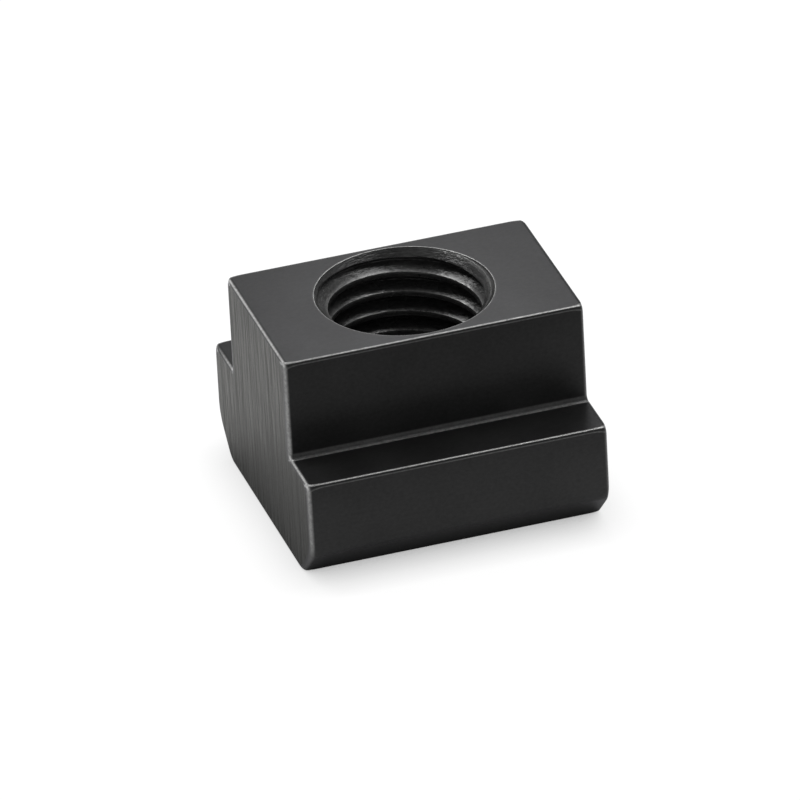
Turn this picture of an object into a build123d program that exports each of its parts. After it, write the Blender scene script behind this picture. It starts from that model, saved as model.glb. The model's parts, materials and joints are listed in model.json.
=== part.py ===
from build123d import *
from build123d.topology import SkipClean
from math import ceil, radians, tan
import os

# A T slot nut: a short steel block with a T shaped section, which slides along the T slot of a
# machine table. Its neck stands in the slot, its wider flange bears up under the slot's lips, and
# a tapped hole right through it takes a clamping stud. The whole nut is cut from one bar.
#
# Lengths are in millimetres. X runs along the slot, Y across it, and Z up to the table's surface.
# The origin is on the underside, on the axis of the hole.

# The slot and the thread that the nut is made for
slot_width = 18.0
thread_diameter = 16.0
thread_pitch = 2.0
first_crest_depth = 1.8  # from the top face down to the first crest's upper edge, over +Y

# The block
nut_length = 28.0
nut_height = 20.0
flange_width = 28.2
flange_height = 10.4
neck_clearance = 0.6  # the neck is this much narrower than the slot

# Its edges
bottom_chamfer = 3.2  # at 45 degrees, along both lower edges of the flange
root_radius = 0.5  # fillet between the neck and the top of the flange
edge_radius = 0.3  # every outer edge is broken to this radius

# The mouths of the hole
mouth_clearance = 0.2  # the countersink is this much wider than the thread
countersink_angle = 90.0  # included angle

# How far the hole's cutters reach past what they cut
end_overshoot = 1.0  # past the block, at both ends
groove_overlap = 0.3  # from the thread's groove into the core

# Sizes that follow from those above. The thread has the ISO metric form: its flanks lean 30
# degrees from level, its crest is a quarter of the pitch high and its root an eighth.
neck_width = slot_width - neck_clearance
flank_lean = tan(radians(30))
thread_triangle = thread_pitch / 2 / flank_lean  # depth of the full 60 degree triangle
thread_radius = thread_diameter / 2
core_radius = thread_radius - 5 / 8 * thread_triangle
groove_mouth = 3 / 4 * thread_pitch
groove_root = thread_pitch / 8
mouth_radius = (thread_diameter + mouth_clearance) / 2
countersink_depth = (mouth_radius - core_radius) / tan(radians(countersink_angle / 2))


def t_section():
    """The T seen along the slot: one half of its outline, mirrored, with its two roots filleted."""
    half_neck = neck_width / 2
    half_flange = flange_width / 2
    outline = [
        (0, 0),
        (half_flange - bottom_chamfer, 0),
        (half_flange, bottom_chamfer),
        (half_flange, flange_height),
        (half_neck, flange_height),
        (half_neck, nut_height),
        (0, nut_height),
    ]
    with BuildSketch(Plane.YZ) as section:
        with BuildLine():
            Polyline(*outline)
            mirror(about=Plane.YZ)
        make_face()
        # from left to right at this height: an outer corner, two roots, an outer corner
        lowest = flange_height - root_radius / 2
        highest = flange_height + root_radius / 2
        corners = section.vertices().filter_by_position(Axis.Y, lowest, highest)
        fillet(corners.sort_by(Axis.X)[1:3], root_radius)
    return section.sketch


def is_beside_root(edge):
    """Whether a long edge is one where a root fillet runs out into a flat face."""
    middle = edge.center()
    from_neck = abs(middle.Y) - neck_width / 2
    from_flange = middle.Z - flange_height
    return from_neck < root_radius * 1.1 and -root_radius / 10 < from_flange < root_radius * 1.1


def rounded_block():
    """The T section run along the slot, with every outer edge broken."""
    block = extrude(t_section(), nut_length / 2, both=True)
    along_slot = block.edges().filter_by(Axis.X)
    sharp = [edge for edge in along_slot if not is_beside_root(edge)]
    ends = block.faces().filter_by(Plane.YZ).edges()
    return fillet(sharp + list(ends), edge_radius)


def core_quarter():
    """A quarter of the thread's core, from +X to +Y, with a countersink at both ends."""
    widening = end_overshoot * tan(radians(countersink_angle / 2))
    outline = [
        (0, -end_overshoot),
        (mouth_radius + widening, -end_overshoot),
        (core_radius, countersink_depth),
        (core_radius, nut_height - countersink_depth),
        (mouth_radius + widening, nut_height + end_overshoot),
        (0, nut_height + end_overshoot),
    ]
    with BuildSketch(Plane.XZ) as half_section:
        with BuildLine():
            Polyline(*outline, close=True)
        make_face()
    return revolve(half_section.sketch, Axis.Z, revolution_arc=90)


def groove_quarter():
    """A quarter turn of the thread's groove, rising from Z = 0 over +X to +Y."""
    inner_half = groove_mouth / 2 + groove_overlap * flank_lean
    outline = [
        (core_radius - groove_overlap, -inner_half),
        (thread_radius, -groove_root / 2),
        (thread_radius, groove_root / 2),
        (core_radius - groove_overlap, inner_half),
    ]
    with BuildSketch(Plane.XZ) as groove_section:
        with BuildLine():
            Polyline(*outline, close=True)
        make_face()
    rise = Helix(pitch=thread_pitch, height=thread_pitch / 4, radius=core_radius)
    return sweep(groove_section.sketch, path=rise, is_frenet=True)


def hole_cutters():
    """The core and the right-hand groove round it, both in quarter turns.

    Cut in this way, each quarter turn of the thread's crest is a face of its own.
    """
    core = core_quarter()
    cutters = [core.rotate(Axis.Z, 90 * quarter) for quarter in range(4)]
    groove = groove_quarter()
    over_y = nut_height - first_crest_depth + groove_mouth / 2
    over_x = over_y - thread_pitch / 4
    lowest = over_x % thread_pitch - 2 * thread_pitch
    for quarter in range(4 * (ceil(nut_height / thread_pitch) + 3)):
        rise = Location((0, 0, lowest + quarter * thread_pitch / 4))
        cutters.append(groove.rotate(Axis.Z, 90 * quarter).moved(rise))
    return cutters


def t_slot_nut():
    """The finished nut, one solid, with each quarter turn of the crest kept as its own face."""
    block = rounded_block()
    with SkipClean():
        return block.cut(*hole_cutters()).solid()


os.makedirs("parts", exist_ok=True)
nut = t_slot_nut()
nut.label = "t_slot_nut"
export_step(nut, "parts/t_slot_nut.step")
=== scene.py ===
"""T slot nut: a blackened steel block with a T shaped section and a tapped hole through it.

The block and its thread are one closed mesh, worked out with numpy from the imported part's sizes.
The sizes and colours are properties in the 3D view's sidebar, under "T slot nut".
"""

import json
from math import pi, radians

import bpy
import numpy as np
from mathutils import Matrix, Vector


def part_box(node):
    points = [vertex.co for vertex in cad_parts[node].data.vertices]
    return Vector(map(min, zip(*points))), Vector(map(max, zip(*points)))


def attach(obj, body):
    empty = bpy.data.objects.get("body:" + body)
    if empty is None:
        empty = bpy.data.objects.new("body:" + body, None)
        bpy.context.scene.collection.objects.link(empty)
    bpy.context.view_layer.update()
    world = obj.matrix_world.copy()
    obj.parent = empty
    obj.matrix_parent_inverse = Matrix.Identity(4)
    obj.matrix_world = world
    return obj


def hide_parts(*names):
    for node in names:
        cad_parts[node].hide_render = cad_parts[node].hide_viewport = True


bl_info = {
    "name": "T slot nut",
    "version": (1, 0, 0),
    "blender": (4, 5, 0),
    "location": "3D View > Sidebar > T slot nut",
    "description": "Makes a blackened steel T slot nut with its thread, and a plain studio for it",
    "category": "Object",
}

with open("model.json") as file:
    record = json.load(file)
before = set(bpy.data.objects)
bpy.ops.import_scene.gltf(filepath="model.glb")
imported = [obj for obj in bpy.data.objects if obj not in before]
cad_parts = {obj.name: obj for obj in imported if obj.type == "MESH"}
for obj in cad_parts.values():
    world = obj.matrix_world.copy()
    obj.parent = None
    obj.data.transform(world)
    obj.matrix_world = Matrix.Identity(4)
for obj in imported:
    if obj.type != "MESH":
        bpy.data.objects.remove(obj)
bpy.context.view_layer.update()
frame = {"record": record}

NODE = "t_slot_nut"
MM = 0.001  # metres in a millimetre

BOX_LOW, BOX_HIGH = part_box(NODE)
MOUNTS = {mount["name"]: mount for mount in frame["record"]["mounts"]}


# ---------------------------------------------------------------- sizes and colours

def linear(hex_value):
    """The linear red, green and blue of an sRGB colour written as #rrggbb."""
    srgb = np.array([int(hex_value[i:i + 2], 16) for i in (1, 3, 5)]) / 255
    return tuple(np.where(srgb <= 0.04045, srgb / 12.92, ((srgb + 0.055) / 1.055) ** 2.4))


def length(name, description, default):
    """A size in metres."""
    return bpy.props.FloatProperty(name=name, description=description, default=default,
                                   min=0.0, precision=5, subtype="DISTANCE", unit="LENGTH")


def colour(name, description, hex_value):
    """A colour, given as sRGB hex."""
    return bpy.props.FloatVectorProperty(name=name, description=description, size=3, min=0.0,
                                         max=1.0, subtype="COLOR", default=linear(hex_value))


def share(name, description, default):
    """A number from 0 to 1."""
    return bpy.props.FloatProperty(name=name, description=description, default=default,
                                   min=0.0, max=1.0, subtype="FACTOR")


class NutSizes(bpy.types.PropertyGroup):
    """The sizes of the nut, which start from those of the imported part."""

    nut_length: length("Length", "Along the slot", BOX_HIGH.x - BOX_LOW.x)
    nut_height: length("Height", "From the underside to the top", BOX_HIGH.z)
    flange_width: length("Flange width", "Across the slot", BOX_HIGH.y - BOX_LOW.y)
    flange_height: length("Flange height", "From the underside to the flange's top",
                          MOUNTS["bearing_right"]["pos_m"][2])
    neck_width: length("Neck width", "Between the neck's two flat sides",
                       2 * MOUNTS["neck_side_right"]["pos_m"][1])
    bottom_chamfer: length("Bottom chamfer", "Leg of the 45 degree chamfers below", 3.2 * MM)
    edge_radius: length("Edge radius", "Rounding of the edges along the nut", 0.3 * MM)
    end_radius: length("End radius", "Rounding of the edges round the two ends", 0.4 * MM)
    chamfer_radius: length("Chamfer radius", "Rounding between the chamfers and the sides",
                           0.8 * MM)
    root_radius: length("Root radius", "Fillet between the neck and the flange", 0.5 * MM)
    corner_radius: length("Corner radius", "Rounding of the section's corners at its two ends",
                          0.8 * MM)
    corner_reach: length("Corner reach", "Length over which the corners become that round",
                         1.6 * MM)
    guard_width: length("Guard width", "Flat kept beside each rounding, for clean shading",
                        0.05 * MM)
    thread_pitch: length("Thread pitch", "Height from one turn of the thread to the next",
                         2.0 * MM)
    core_radius: length("Core radius", "From the axis to the thread's crests",
                        MOUNTS["thread"]["dims"]["r_mm"] * MM)
    root_circle: length("Thread root radius", "From the axis to the bottom of the grooves",
                        8.0 * MM)
    mouth_radius: length("Mouth radius", "Of the countersink where it meets the face", 8.1 * MM)
    rim_radius: length("Rim radius", "Rounding of the countersink's rim", 0.12 * MM)
    crest_rounding: length("Crest rounding", "How far the thread's corners are rounded off",
                           0.05 * MM)
    first_crest: length("First crest", "Depth of the first crest's upper edge below the top, "
                        "over +Y", 1.8 * MM)


class NutFinish(bpy.types.PropertyGroup):
    """The colours and gloss of the nut's steel."""

    oxide_colour: colour("Black oxide", "Reflection of the black oxide, seen square on",
                         "#2a2a2a")
    metallic: share("Metallic", "The rest is a faint matt black from the oxide's pores", 0.55)
    # Bare steel where the oxide has worn off the edges, also mixed in as a painted highlight along
    # the edges and in the fillets
    bare_and_highlight_colour: colour("Bare steel", "Steel where the oxide has worn off the edges", "#cccccb")
    oxide_roughness: share("Oxide roughness", "Of the ground faces", 0.42)
    sawn_roughness: share("Sawn roughness", "Of the two end faces", 0.42)
    thread_roughness: share("Thread roughness", "Of the thread and its countersinks", 0.27)
    bare_roughness: share("Bare roughness", "Of the worn edges", 0.35)


class StudioSetup(bpy.types.PropertyGroup):
    """The floor, light and camera."""

    floor_colour: colour("Floor", "Matt card that the nut stands on", "#e6e6e6")
    floor_glow: share("Floor glow", "Added where the floor is seen, so that it looks white", 0.94)
    floor_matt: share("Floor matt", "How much of the light on the floor is seen on it", 0.12)
    world_light: share("World light", "How much light comes from all round", 0.5)
    # Also the darkest level of the painted shade on the mirrored floor, towards the camera's side
    dark_front: share("Dark front", "Brightness high up on the side that the camera is on", 0.15)
    camera_turn: bpy.props.FloatProperty(name="Camera turn", subtype="ANGLE", unit="ROTATION",
        description="Round the nut, from the front", default=radians(-16.245))
    camera_rise: bpy.props.FloatProperty(name="Camera rise", subtype="ANGLE", unit="ROTATION",
        description="Above the floor", default=radians(29.63))
    camera_roll: bpy.props.FloatProperty(name="Camera roll", subtype="ANGLE", unit="ROTATION",
        description="Tilt of the picture", default=radians(-3.145))
    camera_distance: length("Camera distance", "From the point that the camera looks at", 1.15)
    camera_lens: bpy.props.FloatProperty(name="Lens", subtype="DISTANCE_CAMERA", unit="CAMERA",
        description="Focal length on a 36 mm sensor", default=578.1, min=1.0)
    aim: bpy.props.FloatVectorProperty(name="Aim", subtype="XYZ", unit="LENGTH", size=3,
        description="The point that the camera looks at",
        default=(-0.872 * MM, 0.312 * MM, 8.804 * MM))


# ---------------------------------------------------------------- the nut's surfaces

GROUND, SAWN, TAPPED = range(3)  # the kinds of face, in the order of the materials

ARC_POINTS = 9  # along each rounding
CORNER_POINTS = ARC_POINTS + 2  # with the guard points
TOP_CORNER = 4  # the section's corner at the right of the top face; the next is at its left
LEAD_RINGS = 4  # rings before an end's arc, over which the corners grow rounder
COLUMNS = 288  # points round the hole, a multiple of four
SHARP_ANGLE = radians(38)  # edges that turn by more are shaded as edges

UPRIGHT_SHARE = 1.6  # of the end radius, by which the upright sides draw in at the ends
LEVEL_SHARE = 0.7  # of the end radius, by which the level sides do
LOW_CORNER_GROWTH = 3  # how many times the corner radius the chamfers' lower corners reach
HIGH_CORNER_GROWTH = 5  # and their upper corners

# Wear and painted highlight run from 0, where the oxide is whole, to 1, where bare steel shows.
# On the outer edges they are worn oxide laid in lines where the highlights fall, so partly a
# painted highlight; in the fillets they are only a painted highlight. A line of it is a
# strength, the share by which the surface faces up in its middle, and its spread in that share.
ARC_WEAR_AND_HIGHLIGHT = np.pad(np.sin(pi * np.linspace(0, 1, ARC_POINTS)) ** 1.5, 1)  # most half way round
# Painted highlight, laid on as worn oxide: lines near the upper and lower sides of the outer
# edges' roundings
UPPER_WEAR_AND_HIGHLIGHT = (0.6, 0.88, 0.1)
LOWER_WEAR_AND_HIGHLIGHT = (0.2, 0.12, 0.1)
# Painted highlight line in the fillets between the neck and the flange, near the flange's side
ROOT_HIGHLIGHT_LINE = (0.45, 0.97, 0.04)
ROOT_SHEEN = 0.05  # painted highlight: a faint sheen of bare steel all over the fillets between the neck and the flange
RIGHT_END_WEAR_AND_HIGHLIGHT = 0.4  # the right end's share of the left end's wear and painted highlight
BACK_FLANGE_WEAR_AND_HIGHLIGHT = 0.2  # the share left on the ends' edges round the back of the flange
SIDE_WEAR_AND_HIGHLIGHT = 0.3  # of the ends' edges that don't face up
LINE_POWER = 4  # draws the wear and painted highlight of the ends' upper edges together into a thin line
UPPER_FROM, UPPER_OVER = 0.3, 0.6  # where that line starts, and the share it blends in over
RIM_WEAR_AND_HIGHLIGHT = 0.35  # worn oxide and painted highlight on the countersinks' rims
THREAD_WEAR = 0.03  # all over the thread
CREST_WEAR_AND_HIGHLIGHT = 0.25  # worn oxide and painted highlight, added along the crests' upper edges
CREST_LINE = 0.06 * MM  # how far that line spreads
CORNER_GAP = 0.05 * MM  # from each corner of the thread to the rows beside it, for clean shading


def wear_and_highlight_line(facing_up, line):
    """Worn oxide and painted highlight over a rounding: a bell curve over the share by which the
    surface faces up.
    """
    strength, middle, spread = line
    return strength * np.exp(-((facing_up - middle) / spread) ** 2)


def rounding(corner, direction, turn, radius, guard):
    """An arc that rounds each corner of a path, with a guard point on the run beyond each end.

    The path comes in along a direction and turns to the left by an angle, or to the right where
    it is negative. The arc touches both runs at radius times the tangent of half the angle.
    """
    side = np.sign(turn)[:, None, None]
    ahead = direction[:, None]
    inward = np.stack([-direction[:, 1], direction[:, 0]], 1)[:, None] * side
    angle = np.abs(turn)[:, None, None] * np.linspace(0, 1, ARC_POINTS)[:, None]
    radius = radius[:, None, None]
    start = corner[:, None] - ahead * radius * np.tan(angle[:, -1:] / 2)
    arc = start + radius * (np.sin(angle) * ahead + (1 - np.cos(angle)) * inward)
    leaving = np.cos(angle[:, -1:]) * ahead + np.sin(angle[:, -1:]) * inward
    return np.concatenate([start - guard * ahead, arc, arc[:, -1:] + guard * leaving], 1)


def rounded_corners(points, radius, guard):
    """Rounds each corner of a closed path that runs counter-clockwise: one row of points each."""
    before = points - np.roll(points, 1, axis=0)
    before = before / np.linalg.norm(before, axis=1, keepdims=True)
    after = np.roll(before, -1, axis=0)
    turn = np.arctan2(before[:, 0] * after[:, 1] - before[:, 1] * after[:, 0],
                      (before * after).sum(1))
    return rounding(points, before, turn, radius, guard), turn


def t_outline(sizes, inset):
    """Corners of the T section in Y and Z, counter-clockwise, with every side moved in.

    Upright sides move in by more than the inset and level ones by less, so that the upright end
    edges are rounder. A corner moves by the vector whose parts along the normals of its two
    sides are those sides' own moves.
    """
    half_flange, half_neck = sizes.flange_width / 2, sizes.neck_width / 2
    right = np.array([
        (half_flange - sizes.bottom_chamfer, 0),
        (half_flange, sizes.bottom_chamfer),
        (half_flange, sizes.flange_height),
        (half_neck, sizes.flange_height),
        (half_neck, sizes.nut_height),
    ])
    outline = np.concatenate([right, right[::-1] * (-1, 1)])
    run = outline - np.roll(outline, 1, axis=0)
    run = run / np.linalg.norm(run, axis=1, keepdims=True)
    outward = np.stack([run[:, 1], -run[:, 0]], 1)
    following = np.roll(outward, -1, axis=0)
    move = inset * (LEVEL_SHARE + (UPRIGHT_SHARE - LEVEL_SHARE) * np.abs(outward[:, :1]))
    next_move = np.roll(move, -1, axis=0)
    cosine = (outward * following).sum(1, keepdims=True)
    shift = ((move - next_move * cosine) * outward
             + (next_move - move * cosine) * following) / (1 - cosine ** 2)
    return outline - shift


def block_skin(sizes):
    """The block's outer surface: the T section carried along X and drawn in at both ends.

    Each ring is the section with its sides moved in by the ring's inset. The rings' distances
    from the end and their insets are the points of an arc, which rounds the end edges. Over the
    corner reach before each end, the section's corners grow rounder along a quarter circle: by
    one minus the root of one minus the square of the share of the reach that is covered.

    Gives the points, rings by points round, and how worn each is, with painted highlight. Along
    the nut it lies in thin lines on the outer corners, worn oxide placed where the highlights
    fall and so partly a painted highlight, and in the fillets, where it is only a painted
    highlight. Round the ends it is greatest half way round each arc: a thin line where the
    surface faces up, partly a painted highlight, broad and faint where it doesn't, and none
    below. The right end and the back of the flange have less.
    """
    guard = sizes.guard_width
    end, _ = rounded_corners(np.array([(-1.0, 0.0), (0.0, 0.0), (0.0, 1.0)]),
                             np.full(3, sizes.end_radius), guard)
    past_end, inset = end[1].T
    lead_in = np.linspace(-sizes.corner_reach, past_end[0], LEAD_RINGS + 1)[:-1]
    past_end = np.concatenate([lead_in, past_end])
    inset = np.pad(inset, (LEAD_RINGS, 0))
    ring_wear_and_highlight = np.pad(ARC_WEAR_AND_HIGHLIGHT, (LEAD_RINGS, 0))
    edge, corner = sizes.edge_radius, sizes.corner_radius
    radii = np.array([edge, sizes.chamfer_radius, edge, sizes.root_radius, edge])
    end_radii = np.array([LOW_CORNER_GROWTH * corner, HIGH_CORNER_GROWTH * corner, corner,
                          sizes.root_radius, corner])
    radii, end_radii = (np.concatenate([half, half[::-1]]) for half in (radii, end_radii))
    growth = 1 - np.sqrt(1 - np.clip(1 + past_end / sizes.corner_reach, 0, 1) ** 2)
    sections = []
    for step, grown in zip(inset, growth):
        loop, turn = rounded_corners(t_outline(sizes, step),
                                     radii + grown * (end_radii - radii), guard)
        sections.append(loop.reshape(-1, 2))
    sections = np.stack(sections)
    run = np.roll(sections[0], -1, axis=0) - np.roll(sections[0], 1, axis=0)
    facing_up = -run[:, 0] / np.linalg.norm(run, axis=1)
    along = sizes.nut_length / 2 + past_end
    x = np.concatenate([-along[::-1], along])
    sections = np.concatenate([sections[::-1], sections])
    points = np.concatenate([np.broadcast_to(x[:, None, None], sections.shape[:2] + (1,)),
                             sections], 2)
    outer = np.where(turn > 0, turn / (pi / 2), 0)[:, None]
    up = facing_up.reshape(-1, CORNER_POINTS)
    # Worn oxide on the outer corners, in lines that are partly a painted highlight
    corner_line = wear_and_highlight_line(up, UPPER_WEAR_AND_HIGHLIGHT) + wear_and_highlight_line(up, LOWER_WEAR_AND_HIGHLIGHT)
    # Painted highlight in the fillets between the neck and the flange
    root_highlight = (ROOT_SHEEN + wear_and_highlight_line(up, ROOT_HIGHLIGHT_LINE)) * (turn < 0)[:, None]
    long_wear_and_highlight = (corner_line * outer + root_highlight) * (ARC_WEAR_AND_HIGHLIGHT > 0)
    end_line = np.concatenate([ring_wear_and_highlight[::-1], RIGHT_END_WEAR_AND_HIGHLIGHT * ring_wear_and_highlight])[:, None]
    # Round the ends: a thin line where the surface faces up, partly a painted highlight, and none
    # where it faces down
    upper = np.clip((facing_up - UPPER_FROM) / UPPER_OVER, 0, 1)
    end_wear_and_highlight = upper * end_line ** LINE_POWER + (1 - upper) * SIDE_WEAR_AND_HIGHLIGHT * end_line
    back_flange = sections[0, :, 0] > sizes.neck_width / 2
    end_wear_and_highlight = (end_wear_and_highlight * np.clip(1 + facing_up, 0, 1)
                * np.where(back_flange, BACK_FLANGE_WEAR_AND_HIGHLIGHT, 1))
    wear_and_highlight = np.maximum(long_wear_and_highlight.ravel()[None], end_wear_and_highlight)
    wear_and_highlight[[0, -1]] = 0  # the flat ends
    return points, wear_and_highlight


def thread_radius(sizes, below):
    """Radius of the thread's wall at a distance below a crest's upper edge.

    Down from that edge come the flat crest, a quarter of the pitch high, a flank at 30 degrees
    to the level, the flat root, an eighth of the pitch high, and the next crest's upper flank.
    The wall is a triangle wave, cut off at the crest and root radii by a smooth maximum and
    minimum that round the corners.
    """
    pitch = sizes.thread_pitch
    height = pitch * 3 ** 0.5 / 2
    from_crest = np.abs((below - pitch / 8 + pitch / 2) % pitch - pitch / 2)
    wall = sizes.core_radius + (from_crest - pitch / 8) / (pitch / 2) * height
    soft = sizes.crest_rounding
    core, root = sizes.core_radius, sizes.root_circle
    wall = np.maximum(wall, core) + np.maximum(soft - np.abs(wall - core), 0) ** 2 / (4 * soft)
    return np.minimum(wall, root) - np.maximum(soft - np.abs(wall - root), 0) ** 2 / (4 * soft)


def tapped_wall(sizes):
    """The hole's wall between its two countersinks, with the thread cut into it.

    Rows follow the right-hand helix: each climbs by one pitch in a turn, counter-clockwise, and
    meets the row one pitch above it. Their heights are cut off level at both ends, and the
    radius is that of the thread or of the countersinks' cones, whichever is larger. The oxide is
    worn a little all over, with a line along the crests' upper edges that is worn oxide and
    partly a painted highlight. Gives the points, how worn they are with that painted highlight,
    the triangles, and the point numbers of the top and bottom rings.
    """
    pitch, height = sizes.thread_pitch, sizes.nut_height
    eighth = pitch / 8  # the crest ends at 2 eighths, and the root runs from 4.5 to 5.5
    steps = np.sort(np.array([
        0, CORNER_GAP, eighth, 2 * eighth - CORNER_GAP, 2 * eighth, 2 * eighth + CORNER_GAP,
        2.7 * eighth, 3.3 * eighth, 3.9 * eighth,
        4.5 * eighth - CORNER_GAP, 4.5 * eighth, 4.5 * eighth + CORNER_GAP,
        5.5 * eighth - CORNER_GAP, 5.5 * eighth, 5.5 * eighth + CORNER_GAP,
        6.1 * eighth, 6.7 * eighth, 7.3 * eighth, 8 * eighth - CORNER_GAP,
    ]))
    count = len(steps)
    turns = int(np.ceil(height / pitch)) + 2
    angle = 2 * pi * np.arange(COLUMNS + 1) / COLUMNS
    crest = height - sizes.first_crest + pitch * (angle - pi / 2) / (2 * pi)
    drop = (np.arange(-2, turns)[:, None] * pitch + steps).ravel()[::-1]
    z = crest[:, None] - drop
    low = sizes.mouth_radius - sizes.root_circle  # where the cone is as wide as the roots
    high = height - low
    inside_low = (z > low).argmax(1)[:, None] - 1
    inside_high = (z < high).shape[1] - (z < high)[:, ::-1].argmax(1)[:, None]
    z = np.clip(z, low, high)
    radius = thread_radius(sizes, crest[:, None] - z)
    cone = sizes.mouth_radius - np.minimum(height - z, z)
    radius = np.maximum(radius, cone)
    points = np.stack([radius * np.cos(angle)[:, None], radius * np.sin(angle)[:, None], z], 2)
    from_edge = (crest[:, None] - z + pitch / 2) % pitch - pitch / 2
    # A line of worn oxide along the crests' upper edges, partly a painted highlight
    wear_and_highlight = THREAD_WEAR + CREST_WEAR_AND_HIGHLIGHT * np.exp(-(from_edge / CREST_LINE) ** 2)

    rows = z.shape[1]
    column = np.arange(COLUMNS + 1)[:, None]
    row = np.arange(rows)[None]
    row = np.clip(row, inside_low, inside_high)
    last = np.clip(np.minimum(np.arange(rows)[None] + count, rows - 1), inside_low[:1],
                   inside_high[:1])
    number = column * rows + row
    number[-1] = last[0]
    a, b = number[:-1, :-1], number[1:, :-1]
    c, d = number[1:, 1:], number[:-1, 1:]
    triangles = np.concatenate([np.stack([a, c, b], 2).reshape(-1, 3),
                                np.stack([a, d, c], 2).reshape(-1, 3)])
    distinct = ((triangles[:, 0] != triangles[:, 1]) & (triangles[:, 1] != triangles[:, 2])
                & (triangles[:, 2] != triangles[:, 0]))
    triangles = triangles[distinct]
    used, triangles = np.unique(triangles, return_inverse=True)
    triangles = triangles.reshape(-1, 3)
    ring = np.arange(COLUMNS)
    top = np.searchsorted(used, number[ring, -1])
    bottom = np.searchsorted(used, number[ring, 0])
    return points.reshape(-1, 3)[used], wear_and_highlight.ravel()[used], triangles, top, bottom


def rim_rings(sizes):
    """Rings round the rim of the top countersink, from the flat face in to the cone.

    Their radii and heights are an arc that rounds the corner between the face and the cone,
    whose sides lean at 45 degrees, with a guard ring at each side.
    """
    corner = rounding(np.array([(sizes.mouth_radius, sizes.nut_height)]),
                      np.array([(-1.0, 0.0)]), np.array([pi / 4]),
                      np.array([sizes.rim_radius]), sizes.guard_width)[0]
    angle = 2 * pi * np.arange(COLUMNS) / COLUMNS
    radius, z = corner.T[:, :, None]
    return np.stack([radius * np.cos(angle), radius * np.sin(angle), z + 0 * angle], 2)


def strip(first, second):
    """Four-sided faces between two closed rings of point numbers."""
    return np.stack([first, np.roll(first, -1), np.roll(second, -1), second], 1)


def plate(corners, rim):
    """Triangles of a flat face between four corners and a round hole.

    Each corner has a fan over its own quarter of the rim, and the four gaps between the fans
    are one triangle each. Both the corners and the rim run counter-clockwise.
    """
    quarter = len(rim) // 4
    following = np.roll(rim, -1)
    fans = np.stack([rim, np.repeat(corners, quarter), following], 1)
    gaps = np.stack([np.roll(rim[::quarter], -1), corners, np.roll(corners, -1)], 1)
    return np.concatenate([fans, gaps])


def make_nut(sizes):
    """The whole nut as one closed surface: points, faces, worn oxide with painted highlight and
    the kind of each face.
    """
    skin, skin_wear_and_highlight = block_skin(sizes)
    rings, around = skin_wear_and_highlight.shape
    number = np.arange(rings * around).reshape(rings, around)
    ahead = np.roll(number, -1, axis=1)
    quads = np.stack([number[:-1], ahead[:-1], ahead[1:], number[1:]], 2)
    middle = rings // 2 - 1
    top_right = TOP_CORNER * CORNER_POINTS + CORNER_POINTS - 1
    top_left = top_right + 1
    keep = np.ones(quads.shape[:2], bool)
    keep[middle, [top_right, around - 1]] = False
    quads = quads[keep]

    wall, wall_wear_and_highlight, wall_triangles, wall_top, wall_bottom = tapped_wall(sizes)
    rim = rim_rings(sizes)
    rim_under = rim * (1, 1, -1) + (0, 0, sizes.nut_height)
    wall_start = skin_wear_and_highlight.size
    rim_start = wall_start + len(wall)
    points = np.concatenate([skin.reshape(-1, 3), wall, rim.reshape(-1, 3),
                             rim_under.reshape(-1, 3)])
    rim_number = rim_start + np.arange(rim.shape[0] * COLUMNS).reshape(-1, COLUMNS)
    under_number = rim_number + rim.shape[0] * COLUMNS
    top_rings = list(rim_number) + [wall_start + wall_top]
    under_rings = list(under_number) + [wall_start + wall_bottom]
    rim_quads = [strip(a, b) for a, b in zip(top_rings, top_rings[1:])]
    rim_quads += [strip(a, b)[:, ::-1] for a, b in zip(under_rings, under_rings[1:])]
    rim_quads = np.concatenate(rim_quads)

    top_corners = number[[middle + 1, middle, middle, middle + 1],
                         [top_right, top_right, top_left, top_left]]
    low_corners = number[[middle + 1, middle, middle, middle + 1], [0, 0, around - 1, around - 1]]
    top_plate = plate(top_corners, rim_number[0])
    low_plate = plate(low_corners, under_number[0])[:, ::-1]
    caps = [number[0][::-1].tolist(), number[-1].tolist()]

    groups = [(quads, GROUND), (top_plate, GROUND), (low_plate, GROUND), (caps, SAWN),
              (rim_quads, TAPPED), (wall_start + wall_triangles, TAPPED)]
    faces, kinds = [], []
    for group, kind in groups:
        group = group if isinstance(group, list) else group.tolist()
        faces += group
        kinds += [kind] * len(group)
    # Worn oxide and painted highlight round the countersinks' rims
    rim_wear_and_highlight = np.repeat(RIM_WEAR_AND_HIGHLIGHT * ARC_WEAR_AND_HIGHLIGHT, COLUMNS)
    wear_and_highlight = np.concatenate([skin_wear_and_highlight.ravel(), wall_wear_and_highlight, rim_wear_and_highlight, rim_wear_and_highlight])
    return points, faces, wear_and_highlight, np.array(kinds)


# ---------------------------------------------------------------- materials

# Each steel: its name and its roughness setting, then the size of its finest lines along X, Y
# and Z and the depth of its relief in millimetres, how strong the broad relief is against the
# fine, the tint of what it mirrors at a glance, and how much lighter and darker its spots are.
STEELS = (
    ("black_oxide_ground_steel", "oxide_roughness", (0.4, 0.3, 0.3), 0.0006, 9, "#cbcbce", 0.18),
    ("black_oxide_sawn_steel", "sawn_roughness", (0.14, 0.14, 1.3), 0.027, 7, "#bcbcb9", 0.4),
    ("black_oxide_tapped_steel", "thread_roughness", (0.6, 0.6, 0.13), 0.05, 2.5, "#ffffff", 0.8),
)
BROAD_SCALE = 0.13  # of the broad relief, where the finest lines have 1
CLOUD_SIZE = 5 * MM  # patches of the bath's uneven finish
CHIP_SIZE = 0.3 * MM  # chips in the worn lines
SATIN_SPREAD = 0.05  # by which the roughness varies from patch to patch
MATT_SHEEN = 0.25  # specular level of the part that isn't metallic
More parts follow.
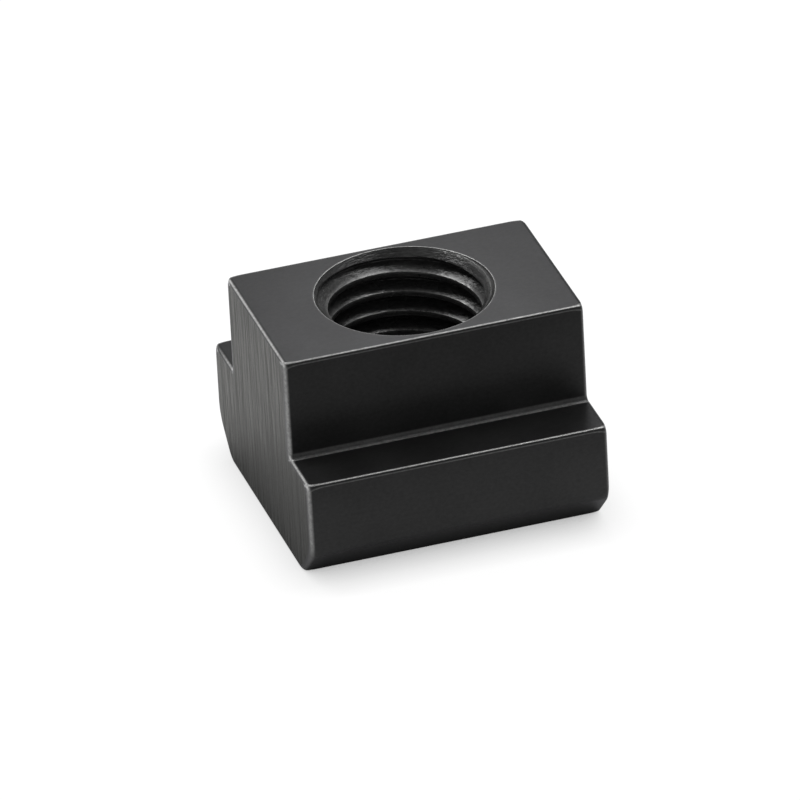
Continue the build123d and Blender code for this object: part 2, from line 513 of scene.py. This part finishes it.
CHIPPED, WHOLE = 0.6, 1.2  # how much of the wear and painted highlight shows where the chips are thinnest and thickest

CONTACT_REACH = 4.2 * MM  # of the painted shadow where the nut meets the floor
CONTACT_POWER = 0.3  # makes that shadow thin
SHADE_REACH = 14 * MM  # of the painted wide shade round the nut, which only its mirroring shows
SHADE_POWER = 1.2  # makes that shade a little deeper
FRONT_DARK, FRONT_LIGHT = -37 * MM, -25 * MM  # along Y, where the painted shade on the mirrored floor gives way and it grows light
MIRRORED_GLOW = 0.85  # the mirrored floor's share of the glow


def add(tree, kind, values=None, links=None, **settings):
    """Adds a node with its settings, the values of its inputs, and the links into them."""
    node = tree.nodes.new(kind)
    for name, value in settings.items():
        setattr(node, name, value)
    for name, value in (values or {}).items():
        node.inputs[name].default_value = value
    for name, socket in (links or {}).items():
        tree.links.new(socket, node.inputs[name])
    return node


def steel(name, finish, roughness, grain, depth, ripple, edge_tint, mottling):
    """Steel blackened in a hot oxide bath, over a machined surface whose grain has a direction.

    The eye sees a near-black satin that mirrors its surroundings at a glance, lines along the
    grain, and thin bright lines of bare steel: on the edges they are oxide worn off by handling
    and partly a painted highlight, in the fillets only a painted highlight. The values are
    those of STEELS.
    """
    material = bpy.data.materials.new(name)
    material.use_nodes = True
    tree = material.node_tree
    tree.nodes.clear()
    place = add(tree, "ShaderNodeTexCoord").outputs["Object"]
    across = add(tree, "ShaderNodeMapping", {"Scale": [1 / (size * MM) for size in grain]},
                 {"Vector": place})
    fine = add(tree, "ShaderNodeTexNoise", {"Scale": 1.0, "Detail": 2.0, "Roughness": 0.6},
               {"Vector": across.outputs["Vector"]})
    broad = add(tree, "ShaderNodeTexNoise",
                {"Scale": BROAD_SCALE, "Detail": 2.0, "Roughness": 0.6},
                {"Vector": across.outputs["Vector"]})
    cloud = add(tree, "ShaderNodeTexNoise",
                {"Scale": 1 / CLOUD_SIZE, "Detail": 3.0, "Roughness": 0.55}, {"Vector": place})
    chips = add(tree, "ShaderNodeTexNoise",
                {"Scale": 1 / CHIP_SIZE, "Detail": 4.0, "Roughness": 0.75}, {"Vector": place})
    height = add(tree, "ShaderNodeMath", {1: ripple}, {0: broad.outputs["Fac"],
                 2: fine.outputs["Fac"]}, operation="MULTIPLY_ADD")
    # Wear with painted highlight: bare steel where the oxide has worn, and painted highlight lines
    # on the edges and in the fillets
    wear_and_highlight = add(tree, "ShaderNodeAttribute", attribute_name="wear_and_highlight").outputs["Fac"]
    kept = add(tree, "ShaderNodeMapRange", {"From Min": 0.35, "From Max": 0.65,
               "To Min": CHIPPED, "To Max": WHOLE}, {"Value": chips.outputs["Fac"]})
    # The worn share is that wear and painted highlight, thinned where the chips are
    worn = add(tree, "ShaderNodeMath", {}, {0: wear_and_highlight, 1: kept.outputs["Result"]},
               operation="MULTIPLY", use_clamp=True)
    tone = add(tree, "ShaderNodeMath", {}, {0: fine.outputs["Fac"], 1: cloud.outputs["Fac"]},
               operation="ADD")
    shade = add(tree, "ShaderNodeMapRange", {"From Min": 0.7, "From Max": 1.3,
                "To Min": 1 - mottling, "To Max": 1 + mottling}, {"Value": tone.outputs[0]})
    oxide = add(tree, "ShaderNodeVectorMath", {0: tuple(finish.oxide_colour)},
                {1: shade.outputs["Result"]}, operation="MULTIPLY")
    surface = add(tree, "ShaderNodeMix", {7: (*finish.bare_and_highlight_colour, 1)},
                  {0: worn.outputs[0], 6: oxide.outputs[0]}, data_type="RGBA")
    satin = add(tree, "ShaderNodeMapRange", {"From Min": 0.25, "From Max": 0.75,
                "To Min": roughness - SATIN_SPREAD, "To Max": roughness + SATIN_SPREAD},
                {"Value": cloud.outputs["Fac"]})
    gloss = add(tree, "ShaderNodeMix", {3: finish.bare_roughness},
                {0: worn.outputs[0], 2: satin.outputs["Result"]}, data_type="FLOAT")
    bump = add(tree, "ShaderNodeBump", {"Strength": 1.0, "Distance": depth * MM},
               {"Height": height.outputs[0]})
    shader = add(tree, "ShaderNodeBsdfPrincipled",
                 {"Metallic": finish.metallic, "Specular IOR Level": MATT_SHEEN,
                  "Specular Tint": (*linear(edge_tint), 1)},
                 {"Base Color": surface.outputs[2], "Roughness": gloss.outputs[0],
                  "Normal": bump.outputs["Normal"]})
    add(tree, "ShaderNodeOutputMaterial", {}, {"Surface": shader.outputs["BSDF"]})
    return material


def floor_card(studio):
    """Matt white card: even and soft, it takes the nut's shadow and looks white round it.

    Where the camera sees it, a glow gives it most of its white, and only a share of the light
    that falls on it is added. The glow fades where the nut closes off the space above, so a
    painted shadow stays under the nut's edges. Where the nut mirrors it, painted shade darkens it
    towards the camera's side and in the wide shade round the nut.
    """
    material = bpy.data.materials.new("matt_white_card")
    material.use_nodes = True
    tree = material.node_tree
    tree.nodes.clear()
    path = add(tree, "ShaderNodeLightPath")
    seen = add(tree, "ShaderNodeMath", {}, {0: path.outputs["Is Camera Ray"],
               1: path.outputs["Is Transmission Ray"]}, operation="MAXIMUM").outputs[0]
    in_reflection = path.outputs["Is Glossy Ray"]
    close_sky = add(tree, "ShaderNodeAmbientOcclusion", {"Distance": CONTACT_REACH}, samples=8)
    wide_sky = add(tree, "ShaderNodeAmbientOcclusion", {"Distance": SHADE_REACH}, samples=8)
    contact = add(tree, "ShaderNodeMath", {1: CONTACT_POWER}, {0: close_sky.outputs["AO"]},
                  operation="POWER")
    shade = add(tree, "ShaderNodeMath", {1: SHADE_POWER}, {0: wide_sky.outputs["AO"]},
                operation="POWER")
    place = add(tree, "ShaderNodeSeparateXYZ", {},
                {"Vector": add(tree, "ShaderNodeTexCoord").outputs["Object"]})
    # Painted shade: the mirrored floor darkens towards the camera's side, down to the dark front
    # level
    front = add(tree, "ShaderNodeMapRange", {"From Min": FRONT_DARK, "From Max": FRONT_LIGHT,
                "To Min": studio.dark_front}, {"Value": place.outputs["Y"]},
                interpolation_type="SMOOTHSTEP")
    closed = add(tree, "ShaderNodeMath", {}, {0: shade.outputs[0], 1: contact.outputs[0]},
                 operation="MULTIPLY")
    mirrored = add(tree, "ShaderNodeMath", {}, {0: closed.outputs[0], 1: front.outputs["Result"]},
                   operation="MULTIPLY")
    direct = add(tree, "ShaderNodeMath", {}, {0: seen, 1: contact.outputs[0]},
                 operation="MULTIPLY")
    dimmer = add(tree, "ShaderNodeMath", {1: MIRRORED_GLOW}, {0: mirrored.outputs[0]},
                 operation="MULTIPLY")
    level = add(tree, "ShaderNodeMix", {}, {0: in_reflection, 2: direct.outputs[0],
                3: dimmer.outputs[0]}, data_type="FLOAT")
    glow = add(tree, "ShaderNodeMath", {1: studio.floor_glow}, {0: level.outputs[0]},
               operation="MULTIPLY")
    matt = add(tree, "ShaderNodeMapRange", {"To Min": 1.0, "To Max": studio.floor_matt},
               {"Value": seen})
    open_card = add(tree, "ShaderNodeMix", {}, {0: in_reflection, 2: matt.outputs["Result"],
                    3: mirrored.outputs[0]}, data_type="FLOAT")
    card = add(tree, "ShaderNodeVectorMath", {0: tuple(studio.floor_colour)},
               {1: open_card.outputs[0]}, operation="MULTIPLY")
    shader = add(tree, "ShaderNodeBsdfPrincipled",
                 {"Roughness": 0.9, "IOR": 1.45, "Specular IOR Level": 0.0,
                  "Emission Color": (1, 1, 1, 1)},
                 {"Base Color": card.outputs[0], "Emission Strength": glow.outputs[0]})
    add(tree, "ShaderNodeOutputMaterial", {}, {"Surface": shader.outputs["BSDF"]})
    return material


# ---------------------------------------------------------------- operators

class NUT_OT_threaded_nut(bpy.types.Operator):
    """Makes the nut with its thread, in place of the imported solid"""

    bl_idname = "t_slot.threaded_nut"
    bl_label = "Threaded nut"

    def execute(self, context):
        scene = context.scene
        points, faces, wear_and_highlight, kinds = make_nut(scene.nut_sizes)
        mesh = bpy.data.meshes.new("threaded_nut")
        mesh.from_pydata(points, [], faces)
        mesh.attributes.new("wear_and_highlight", "FLOAT", "POINT").data.foreach_set("value", wear_and_highlight)
        finish = scene.nut_finish
        for name, roughness, *look in STEELS:
            mesh.materials.append(steel(name, finish, getattr(finish, roughness), *look))
        mesh.polygons.foreach_set("material_index", kinds.astype(np.int32))
        mesh.polygons.foreach_set("use_smooth", np.ones(len(kinds), bool))
        mesh.set_sharp_from_angle(angle=SHARP_ANGLE)
        if mesh.validate():
            raise RuntimeError("the nut's faces had to be repaired")
        nut = bpy.data.objects.new("threaded_nut", mesh)
        scene.collection.objects.link(nut)
        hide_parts(NODE)
        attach(nut, "root")
        return {"FINISHED"}


FLOOR_HALF = 1.5  # metres, from the nut to each side of the floor
LIGHT_BELOW, DARK_ABOVE = 0.1, 0.75  # height of a direction, where what is mirrored darkens
BLEND = 0.3  # the share of a direction along Y, over which the room's front and back blend
BEHIND_LEVEL = 0.5  # brightness of the mirrored room behind the nut
PANELS = (  # name, direction from the nut, distance and width in metres, brightness
    ("panel_left", (-0.376, 0.386, 0.842), 0.4, 0.15, 8.0),
    ("panel_right", (0.42, 0.03, 0.907), 0.4, 0.15, 6.5),
    ("panel_behind", (0.21, 0.64, 0.84), 0.085, 0.04, 4.2),
)


def soft_panel(scene, name, direction, distance, width, radiance):
    """A square softbox that faces the nut from a direction, with its brightness in the eye."""
    light = bpy.data.lights.new(name, "AREA")
    light.size = width
    light.energy = pi * radiance * width * width
    lamp = bpy.data.objects.new(name, light)
    lamp.matrix_world = (Matrix.Translation(direction * distance)
                         @ direction.to_track_quat("Z", "Y").to_matrix().to_4x4())
    lamp.visible_camera = False
    scene.collection.objects.link(lamp)


def make_floor(scene, studio):
    """A flat square floor under the nut."""
    side = FLOOR_HALF
    mesh = bpy.data.meshes.new("floor")
    mesh.from_pydata([(-side, -side, 0), (side, -side, 0), (side, side, 0), (-side, side, 0)],
                     [], [(0, 1, 2, 3)])
    mesh.materials.append(floor_card(studio))
    floor = bpy.data.objects.new("floor", mesh)
    scene.collection.objects.link(floor)


def white_room(scene, studio):
    """The world: white to the camera and a soft even light, but darker where the nut mirrors it.

    What the nut mirrors grows darker from low down to high up on the camera's side, and is half
    as bright behind.
    """
    world = bpy.data.worlds.new("soft_white_room")
    scene.world = world
    world.use_nodes = True
    tree = world.node_tree
    tree.nodes.clear()
    path = add(tree, "ShaderNodeLightPath")
    toward = add(tree, "ShaderNodeTexCoord").outputs["Generated"]
    axes = add(tree, "ShaderNodeSeparateXYZ", {}, {"Vector": toward})
    front = add(tree, "ShaderNodeMapRange", {"From Min": LIGHT_BELOW, "From Max": DARK_ABOVE,
                "To Min": 1.0, "To Max": studio.dark_front}, {"Value": axes.outputs["Z"]},
                interpolation_type="SMOOTHSTEP")
    behind = add(tree, "ShaderNodeMapRange", {"From Min": -BLEND, "From Max": BLEND},
                 {"Value": axes.outputs["Y"]}, interpolation_type="SMOOTHSTEP")
    mirrored = add(tree, "ShaderNodeMix", {3: BEHIND_LEVEL}, {0: behind.outputs["Result"],
                   2: front.outputs["Result"]}, data_type="FLOAT")
    lit = add(tree, "ShaderNodeMix", {2: studio.world_light}, {0: path.outputs["Is Glossy Ray"],
              3: mirrored.outputs[0]}, data_type="FLOAT")
    straight = add(tree, "ShaderNodeMath", {}, {0: path.outputs["Is Camera Ray"],
                   1: path.outputs["Is Transmission Ray"]}, operation="MAXIMUM")
    level = add(tree, "ShaderNodeMix", {3: 1.0}, {0: straight.outputs[0], 2: lit.outputs[0]},
                data_type="FLOAT")
    background = add(tree, "ShaderNodeBackground", {"Color": (1, 1, 1, 1)},
                     {"Strength": level.outputs[0]})
    add(tree, "ShaderNodeOutputWorld", {}, {"Surface": background.outputs["Background"]})


def make_camera(scene, studio):
    """The camera, turned round the point that it looks at, then raised, then rolled."""
    turn, rise, roll = studio.camera_turn, studio.camera_rise, studio.camera_roll
    back = Vector((np.sin(turn) * np.cos(rise), -np.cos(turn) * np.cos(rise), np.sin(rise)))
    right = Vector((np.cos(turn), np.sin(turn), 0))
    up = back.cross(right)
    across = right * np.cos(roll) + up * np.sin(roll)
    upward = up * np.cos(roll) - right * np.sin(roll)
    view = bpy.data.cameras.new("camera")
    view.sensor_width = 36  # millimetres, which the lens setting goes with
    view.lens = studio.camera_lens
    camera = bpy.data.objects.new("camera", view)
    camera.matrix_world = (Matrix.Translation(Vector(studio.aim) + back * studio.camera_distance)
                           @ Matrix((across, upward, back)).transposed().to_4x4())
    scene.collection.objects.link(camera)
    scene.camera = camera


class NUT_OT_studio(bpy.types.Operator):
    """Makes the floor, the lamps, the world and the camera"""

    bl_idname = "t_slot.studio"
    bl_label = "Studio"

    def execute(self, context):
        scene = context.scene
        studio = scene.nut_studio
        make_floor(scene, studio)
        white_room(scene, studio)
        for name, direction, distance, width, radiance in PANELS:
            soft_panel(scene, name, Vector(direction).normalized(), distance, width, radiance)
        make_camera(scene, studio)
        scene.view_settings.view_transform = "Standard"
        return {"FINISHED"}


class NUT_PT_sidebar(bpy.types.Panel):
    """The nut's pieces, sizes and colours"""

    bl_idname = "NUT_PT_sidebar"
    bl_label = "T slot nut"
    bl_space_type = "VIEW_3D"
    bl_region_type = "UI"
    bl_category = "T slot nut"

    def draw(self, context):
        for operator in OPERATORS:
            self.layout.operator(operator.bl_idname)
        for name in GROUPS:
            group = getattr(context.scene, name)
            box = self.layout.box()
            for setting in group.bl_rna.properties:
                if setting.identifier not in ("rna_type", "name"):
                    box.prop(group, setting.identifier)


OPERATORS = (NUT_OT_threaded_nut, NUT_OT_studio)
GROUPS = {"nut_sizes": NutSizes, "nut_finish": NutFinish, "nut_studio": StudioSetup}
CLASSES = (*GROUPS.values(), *OPERATORS, NUT_PT_sidebar)


def register():
    for item in CLASSES:
        bpy.utils.register_class(item)
    for name, group in GROUPS.items():
        setattr(bpy.types.Scene, name, bpy.props.PointerProperty(type=group))


def unregister():
    for name in GROUPS:
        delattr(bpy.types.Scene, name)
    for item in reversed(CLASSES):
        bpy.utils.unregister_class(item)


def main():
    register()
    bpy.ops.t_slot.threaded_nut()
    bpy.ops.t_slot.studio()
    bpy.context.view_layer.update()


if __name__ == "__main__":
    main()
